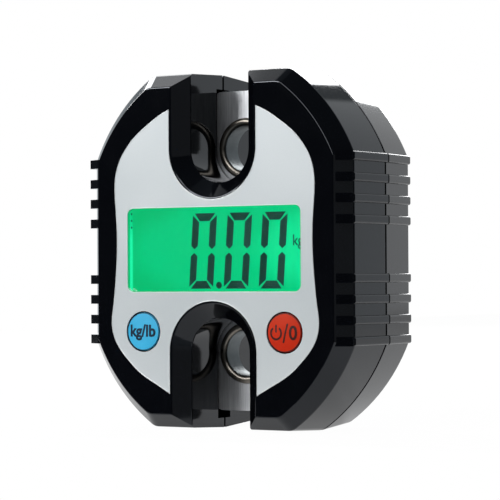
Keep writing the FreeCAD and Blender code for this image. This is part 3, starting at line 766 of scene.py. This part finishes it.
@dataclass
class Studio:
    """Camera, lamps, world and floor."""

    azimuth: float = 31.491
    elevation: float = -0.75
    roll: float = -0.313
    focal_px: float = 2257.07
    distance_mm: float = 636.342
    target_mm: tuple[float, float, float] = (-0.061, 20.0, 0.192)
    frame_px: float = 500.0
    sensor_mm: float = 36.0
    world_band: tuple[tuple[float, str], ...] = (
        (0.0, "#1E2022"), (0.10, "#2B2F32"), (0.67, "#43494C"), (0.80, "#949CA1"), (0.90, "#D4DADE"),
        (0.95, "#F0F3F5"), (1.0, "#FFFFFF"))
    lamps: tuple[tuple[str, tuple[float, float, float], tuple[float, float], float], ...] = (
        ("back_panel", (-0.385, 1.05, 0.66), (0.58, 0.75), 11.6),
        ("left_back_panel", (-0.86, 0.456, 0.74), (0.32, 0.60), 4.6),
        ("ceiling_panel", (-0.58, 0.25, 0.86), (0.60, 0.50), 0.35),
        ("left_ceiling_panel", (-0.683, 0.276, 0.84), (0.30, 0.34), 0.385),
        ("key_panel", (-0.62, -0.94, 0.46), (0.34, 0.36), 6.0),
        ("fill_panel", (0.02, -0.99, 0.93), (0.90, 0.70), 8.0),
        ("right_panel", (0.95, -0.46, 0.08), (0.54, 0.60), 0.15))

    def make(self) -> None:
        """Build everything that lights and shows the object."""
        bpy.context.scene.view_settings.view_transform = "Standard"
        self.place_camera()
        self.light_world()
        self.lay_floor()
        for lamp in self.lamps:
            self.hang_lamp(*lamp)

    def place_camera(self) -> None:
        """Stand the camera where the photograph was taken from."""
        az, el, roll = (math.radians(v) for v in (self.azimuth, self.elevation, self.roll))
        forward = Vector((-math.sin(az) * math.cos(el), math.cos(az) * math.cos(el), -math.sin(el)))
        side = Vector((math.cos(az), math.sin(az), 0.0))
        above = side.cross(forward)
        right = side * math.cos(roll) + above * math.sin(roll)
        up = above * math.cos(roll) - side * math.sin(roll)
        x, y, z = self.target_mm
        target = Vector((x, y + FACE_Y, z + MIDDLE_Z)) * MM
        camera = bpy.data.objects.new("camera", bpy.data.cameras.new("camera"))
        camera.data.sensor_width = self.sensor_mm
        camera.data.lens = self.focal_px * self.sensor_mm / self.frame_px
        camera.data.clip_start = 0.01
        basis = [[right[i], up[i], -forward[i]] for i in range(3)]
        place = target - forward * self.distance_mm * MM
        camera.matrix_world = Matrix(((*basis[0], place.x), (*basis[1], place.y), (*basis[2], place.z),
                                      (0, 0, 0, 1)))
        bpy.context.scene.collection.objects.link(camera)
        bpy.context.scene.camera = camera
        log.info("camera at %s", tuple(round(v, 4) for v in place))

    def light_world(self) -> None:
        """Surround the object with a pale studio that falls off to dim behind the camera."""
        world = bpy.data.worlds.new("studio")
        world.use_nodes = True
        tree = world.node_tree
        tree.nodes.clear()
        way = add_node(tree, "ShaderNodeTexCoord").outputs["Generated"]
        parts = add_node(tree, "ShaderNodeSeparateXYZ", links={"Vector": way})
        shade = colour_band(tree, mapped(tree, parts.outputs["Y"], -1.0, 1.0), list(self.world_band))
        above = mapped(tree, parts.outputs["Z"], 0.445, 0.455, high=0.9)
        beside = mapped(tree, parts.outputs["X"], 0.06, 0.03)
        hooded = tinted(tree, reckon(tree, "MULTIPLY", above, beside), shade, "#5C6367")
        whole = tinted(tree, mapped(tree, parts.outputs["Z"], -0.12, -0.30), hooded, "#868C90")
        around = add_node(tree, "ShaderNodeBackground", {"Strength": 1.0}, {"Color": whole})
        white = add_node(tree, "ShaderNodeBackground", {"Color": WHITE, "Strength": 1.0})
        path = add_node(tree, "ShaderNodeLightPath")
        mix = add_node(tree, "ShaderNodeMixShader", links={0: path.outputs["Is Camera Ray"],
                                                           1: around.outputs["Background"],
                                                           2: white.outputs["Background"]})
        add_node(tree, "ShaderNodeOutputWorld", links={"Surface": mix.outputs["Shader"]})
        bpy.context.scene.world = world

    def lay_floor(self) -> None:
        """Lay a plain white floor that keeps a faint shadow."""
        half, near, far = 0.8, -0.05, 6.0
        mesh = bpy.data.meshes.new("floor")
        mesh.from_pydata([(-half, near, 0), (half, near, 0), (half, far, 0), (-half, far, 0)], [],
                         [(0, 1, 2, 3)])
        material, tree = new_tree("white_floor")
        matt = add_node(tree, "ShaderNodeBsdfDiffuse", {"Color": linear("#F4F4F4")})
        glow = add_node(tree, "ShaderNodeEmission", {"Color": WHITE, "Strength": 1.0})
        path = add_node(tree, "ShaderNodeLightPath")
        mirrored = reckon(tree, "MULTIPLY", path.outputs["Is Glossy Ray"], 0.65)
        seen = reckon(tree, "MAXIMUM", path.outputs["Is Camera Ray"], mirrored)
        through = reckon(tree, "MAXIMUM", seen, path.outputs["Is Transmission Ray"])
        mix = add_node(tree, "ShaderNodeMixShader", links={0: reckon(tree, "MULTIPLY", through, 0.985),
                                                           1: matt.outputs["BSDF"],
                                                           2: glow.outputs["Emission"]})
        add_node(tree, "ShaderNodeOutputMaterial", links={"Surface": mix.outputs["Shader"]})
        mesh.materials.append(material)
        floor = bpy.data.objects.new("floor", mesh)
        bpy.context.scene.collection.objects.link(floor)

    def hang_lamp(self, name: str, place: tuple[float, float, float], size: tuple[float, float],
                  power: float) -> None:
        """Hang one soft panel lamp that faces the object.

        Args:
            name: Lamp name.
            place: Where its middle hangs, in metres.
            size: Width and height in metres.
            power: Power in watts.
        """
        lamp = bpy.data.objects.new(name, bpy.data.lights.new(name, "AREA"))
        lamp.data.shape = "RECTANGLE"
        lamp.data.size, lamp.data.size_y = size
        lamp.data.energy = power
        lamp.location = place
        aim = Vector((0, 0, MIDDLE_Z * MM)) - Vector(place)
        lamp.rotation_euler = aim.to_track_quat("-Z", "Y").to_euler()
        bpy.context.scene.collection.objects.link(lamp)


@dataclass
class CaseShells:
    """The two gloss black halves of the case and the battery door."""

    shell: MouldedPlastic = MouldedPlastic("gloss_black_abs", "#05060A", "#08090D", 0.07, 0.02, 1.2, 0.05,
                                           1.46, "#F0F6FF")

    def make(self) -> None:
        """Dress the case."""
        black = self.shell.build()
        for node in ("front_shell", "rear_shell", "battery_door"):
            dress(node, black)


@dataclass
class FacePanel:
    """Silver face panel, with a bead round its cut edge whose lighter colour is a painted highlight."""

    side: tuple[tuple[float, float], ...] = (
        (37.4, 17.9), (34.9, 21.8), (31.7, 26.0), (28.4, 28.9), (25.2, 30.9), (21.6, 32.1), (17.6, 32.5),
        (11.6, 32.15), (4.8, 31.75), (-2.0, 31.85), (-8.8, 32.35), (-14.8, 33.0), (-19.6, 33.6),
        (-23.6, 33.0), (-27.0, 31.2), (-30.2, 28.4), (-33.9, 24.3), (-37.2, 18.6))
    cut: float = 14.1
    notch_centre: float = 28.1
    top_tip: float = 39.2
    low_tip: float = -39.7
    edge_width: float = 0.26
    edge_height: float = 0.07
    film: SatinFilm = SatinFilm("satin_silver_film", "#C9D0D2", "#D9DEE0")
    # The edge bead's lighter, glossier silver is a painted highlight along the cut edge.
    edge: SatinFilm = SatinFilm("cut_edge_painted_highlight", "#E4E9EA", "#F4F7F7", 0.25, 0.2)

    def outline(self) -> np.ndarray:
        """Closed loop round the panel: smooth flanks, and notch cuts as lines and half circles."""
        flank = [(self.cut, self.top_tip), *((x, z) for z, x in self.side), (self.cut, self.low_tip)]
        right = smooth_loop(np.array(flank))
        angle = np.linspace(0, np.pi, 33)
        low = arc(0.0, -self.notch_centre, self.cut, angle)
        left = right[::-1] * np.array([-1.0, 1.0])
        top = arc(0.0, self.notch_centre, -self.cut, angle)
        return np.vstack([right, low, left, top])

    def make(self) -> None:
        """Dress the panel and lay the bead round its edge, lighter than the film as a painted highlight."""
        dress("face_panel", self.film.build())
        loop = self.outline()
        inward = self.edge_width / 2
        step = np.roll(loop, -1, axis=0) - np.roll(loop, 1, axis=0)
        step /= np.linalg.norm(step, axis=1)[:, None]
        loop = loop + np.column_stack([step[:, 1], -step[:, 0]]) * inward
        mesh = bead("panel_edge", loop, self.edge_width, self.edge_height, depth=0.0)
        add_piece("panel_edge", mesh, self.edge.build(), Body.CASE)


@dataclass
class Display:
    """Lit display with three digits of seven segments, a point and a unit.

    Lengths are in millimetres. The window is given by its half width, its low and
    high side and its corner radius, and the point by its middle and its radius.
    """

    digit_width: float = 7.85
    digit_height: float = 20.8
    digit_middle: float = -0.2
    digit_left: tuple[float, ...] = (-7.95, 3.35, 14.57)
    slant: float = 0.0697
    bar: float = 2.15
    ink_depth: float = 2.66
    ink_thickness: float = 0.04
    window: tuple[float, float, float, float] = (28.1, -11.4, 11.9, 1.8)
    point: tuple[float, float, float] = (1.12, -9.65, 0.95)
    charge_sides: tuple[float, float] = (-28.05, -27.6)
    charge_lows: tuple[float, ...] = (6.4, 8.3, 10.2)
    charge_height: float = 0.5
    glow: LitGlass = LitGlass("lit_display_glass", "#24FFB0", "#00C576", "#00D284", "#10EC9C", 28.1)
    ink: PrintedInk = PrintedInk("switched_segments", "#005343", "#04584B", 0.5)
    # The window edge bead's pale green is a painted highlight on the cut edge, in the display's green.
    rim: SatinFilm = SatinFilm("window_edge_painted_highlight", "#CFEFE0", "#E6F7EE", 0.3, 0.1)

    def segments(self) -> list[np.ndarray]:
        """Outlines of the bars of one 0, upright, with its lower left corner's x at 0."""
        w, h, t = self.digit_width, self.digit_height / 2, self.bar
        top = np.array([(t + 0.15, h - t), (w - t - 0.15, h - t), (w - 0.6, h), (0.6, h)])
        side = np.array([(0.0, h - 0.55), (0.0, 1.45), (t / 2, 0.5), (t, 1.45), (t, h - t - 0.3)])
        upside = np.array([1.0, -1.0])
        mirror = np.array([-1.0, 1.0])
        shift = np.array([w, 0.0])
        right = (side * mirror + shift)[::-1]
        return [top, (top * upside)[::-1], side, (side * upside)[::-1], right, (right * upside)[::-1]]

    def digits(self) -> list[np.ndarray]:
        """Outlines of all bars, each leaning right by slant times its height, and of the point."""
        outlines = []
        for left in self.digit_left:
            for bar in self.segments():
                x = bar[:, 0] + bar[:, 1] * self.slant + left
                outlines.append(np.column_stack([x, bar[:, 1] + self.digit_middle]))
        angle = np.linspace(0, 2 * np.pi, 24, endpoint=False)
        outlines.append(arc(*self.point, angle))
        return outlines + self.charge_bars()

    def charge_bars(self) -> list[np.ndarray]:
        """Outlines of three small charge bars, one over the other, at the left edge of the window."""
        a, b = self.charge_sides
        boxes = [(low, low + self.charge_height) for low in self.charge_lows]
        return [np.array([(a, low), (b, low), (b, high), (a, high)]) for low, high in boxes]

    def rounded_window(self, grow: float) -> np.ndarray:
        """Loop round the window, outside it by grow: four corner arcs joined by straight sides."""
        half, low, high, r = self.window
        quarter = np.linspace(0, np.pi / 2, 9)
        parts = []
        for k, (x, z) in enumerate(((half - r, high - r), (-half + r, high - r), (-half + r, low + r),
                                    (half - r, low + r))):
            parts.append(arc(x, z, r + grow, quarter + k * np.pi / 2))
        return np.vstack(parts)

    def make(self) -> None:
        """Dress the glass and its pane, and print the digits."""
        dress("lcd_glass", self.glow.build())
        dress("lcd_window", ClearAcrylic("clear_acrylic").build())
        ink = self.ink.build()
        mesh = prisms("display_digits", self.digits(), self.ink_depth, self.ink_thickness)
        add_piece("display_digits", mesh, ink, Body.CASE)
        unit = text_mesh("display_unit", "kg", height=2.9, left=24.75, low=1.04, depth=self.ink_depth + 0.02,
                         weight=0.008, squeeze=0.85)
        add_piece("display_unit", unit, ink, Body.CASE)
        # Bead round the window, pale green as a painted highlight.
        rim = bead("window_edge", self.rounded_window(grow=0.12), width=0.22, height=0.05, depth=0.0)
        add_piece("window_edge", rim, self.rim.build(), Body.CASE)
        frost = MouldedPlastic("frosted_light_guide", "#3BCB8B", "#52DB9F", 0.5, 0.05, 1.0, 0.1)
        dress("backlight_panel", frost.build())
        dress("contact_strips", LayeredRubber("layered_contact_rubber").build())
        white = MouldedPlastic("white_moulded_frame", "#DAD9D4", "#E8E7E3", 0.5, 0.06, 0.8, 0.15)
        dress("lcd_holder", white.build())


@dataclass
class Keypad:
    """Two round keys with their signs, and the switches behind them."""

    key_x: float = 22.9
    key_z: float = -22.5
    radius: float = 5.3
    crown: float = 0.4
    rim_width: float = 0.2
    rim_height: float = 0.015
    ink_lift: float = 0.05
    ring_radii: tuple[float, float] = (1.38, 1.92)
    ring_opening: float = math.radians(36)
    bar_half: float = 0.26
    slash_half: float = 0.25
    blue: MouldedPlastic = MouldedPlastic("light_blue_key", "#36B7E7", "#45C1F0", 0.5, 0.04, 0.8, 0.05, 1.38)
    red: MouldedPlastic = MouldedPlastic("orange_red_key", "#CA2204", "#D62B09", 0.5, 0.04, 0.8, 0.05,
                                         1.38, "#FFE8C4")

    def power_sign(self) -> bpy.types.Mesh:
        """Power sign and slash: a ring open at the top, an upright bar in the gap, a slanting bar."""
        x, z = self.key_x - 2.45, self.key_z - 0.15
        a = np.linspace(np.pi / 2 + self.ring_opening, np.pi * 5 / 2 - self.ring_opening, 40)
        inner, outer = self.ring_radii
        ring = np.vstack([arc(x, z, outer, a), arc(x, z, inner, a[::-1])])
        b = self.bar_half
        stroke = np.array([(x - b, z + 0.2), (x + b, z + 0.2), (x + b, z + 2.3), (x - b, z + 2.3)])
        way = np.linspace(-1.0, 1.0, 13)
        spine = np.column_stack([self.key_x + 0.5 + 0.65 * way, z + 2.6 * way])
        slash = np.vstack([spine + [self.slash_half, 0.0], spine[::-1] - [self.slash_half, 0.0]])
        return prisms("power_sign", [ring, stroke, slash], depth=-self.crown, thickness=0.02)

    def rim(self, name: str, x: float) -> bpy.types.Mesh:
        """Dark ring round a key, as a low bead between its sign and its edge."""
        a = np.linspace(0, 2 * np.pi, 96, endpoint=False)
        r = self.radius - self.rim_width / 2 - 0.02
        return bead(name, arc(x, self.key_z, r, a), self.rim_width, self.rim_height, -self.crown, steps=4)

    def make(self) -> None:
        """Dress the keys and print their signs."""
        dress("unit_key", self.blue.build())
        dress("power_key", self.red.build())
        navy = PrintedInk("navy_key_print", "#0C2136", "#16324B").build()
        brown = PrintedInk("dark_brown_key_print", "#33100A", "#47170E").build()
        unit = text_mesh("unit_sign", "kg/lb", height=3.15, left=-self.key_x, low=self.key_z - 1.3,
                         depth=-self.crown, weight=0.03, squeeze=0.98, centre=True)
        unit = join_meshes("unit_sign", [unit, self.rim("unit_rim", -self.key_x)])
        on_crown(unit, (-self.key_x, self.key_z), self.radius, self.crown, self.ink_lift)
        add_piece("unit_sign", unit, navy, Body.UNIT_KEY)
        zero = text_mesh("zero_sign", "0", height=3.7, left=self.key_x + 2.85, low=self.key_z - 1.85,
                         depth=-self.crown, weight=0.022, squeeze=0.95, centre=True)
        power = join_meshes("power_sign", [self.power_sign(), zero, self.rim("power_rim", self.key_x)])
        on_crown(power, (self.key_x, self.key_z), self.radius, self.crown, self.ink_lift)
        add_piece("power_sign", power, brown, Body.POWER_KEY)
        housing = MouldedPlastic("black_switch_housing", "#17181A", "#202124", 0.5, 0.05, 0.6, 0.15).build()
        button = MouldedPlastic("brown_switch_button", "#3C2115", "#4B2B1C", 0.45, 0.05, 0.6, 0.1).build()
        for key in ("unit", "power"):
            dress(key + "_switch", housing)
            dress(key + "_plunger", button)


@dataclass
class LoadCell:
    """Steel bar with its two hard bushes, gauges and screws."""

    eye_z: float = 28.75
    bar: GroundSteel = GroundSteel("ground_bright_steel", "#BFC1C5", "#E2E4E7", 0.40, 0.25,
                                   (1.0, 1.0, 0.04))

    def make(self) -> None:
        """Dress the load cell."""
        dress("load_cell", self.bar.build())
        for eye, sign in (("upper", 1), ("lower", -1)):
            # The third colour, #60676A, is the painted shade of the bore.
            finish = TurnedSteel("turned_steel_" + eye, "#6C6862", "#928C83", "#60676A",
                                 (0.0, MIDDLE_Z + sign * self.eye_z))
            dress(eye + "_eye_bush", finish.build())
        foil = PrintedInk("amber_gauge_foil", "#A86A2C", "#C98A44", 0.4)
        dress("strain_gauges", foil.build())
        zinc = GroundSteel("zinc_plated_screws", "#A5A7A4", "#C6C8C4", 0.32, 0.3, (1.0, 1.0, 1.0)).build()
        for node in ("cell_screws", "case_screws", "board_screws"):
            dress(node, zinc)


@dataclass
class Electronics:
    """Circuit board and what sits on it."""

    board: BoardLacquer = BoardLacquer("green_board_lacquer", "#0B4A26", "#1C6E3B")
    chip: MouldedPlastic = MouldedPlastic("black_moulding_compound", "#121213", "#1B1B1D", 0.6, 0.05, 0.3,
                                          0.3)

    def make(self) -> None:
        """Dress the board."""
        dress("circuit_board", self.board.build())
        dress("board_chips", self.chip.build())


@dataclass
class BatteryBay:
    """Two AAA cells, turned opposite ways, with their contacts and springs."""

    cell_start: float = -19.3
    cell_end: float = 25.2

    def make(self) -> None:
        """Dress the cells and their contacts."""
        for cell, way in (("upper", 1), ("lower", -1)):
            jacket = CellJacket(cell + "_cell_jacket", "#22252B", "#B0763A", "#C9C9C6", way * self.cell_start,
                                way * self.cell_end)
            dress(cell + "_battery", jacket.build())
        nickel = GroundSteel("nickel_plated_contacts", "#B5B0A4", "#D8D4C8", 0.25, 0.4,
                             (1.0, 1.0, 0.2)).build()
        for node in ("bridge_contact", "end_contacts", "battery_springs"):
            dress(node, nickel)


def main() -> None:
    """Build the studio and dress every sub-assembly in order."""
    logging.basicConfig(level=logging.INFO, format="%(name)s: %(message)s")
    for group in (Studio, CaseShells, FacePanel, Display, Keypad, LoadCell, Electronics, BatteryBay):
        log.info("building %s", group.__name__)
        group().make()


if __name__ == "__main__":
    main()
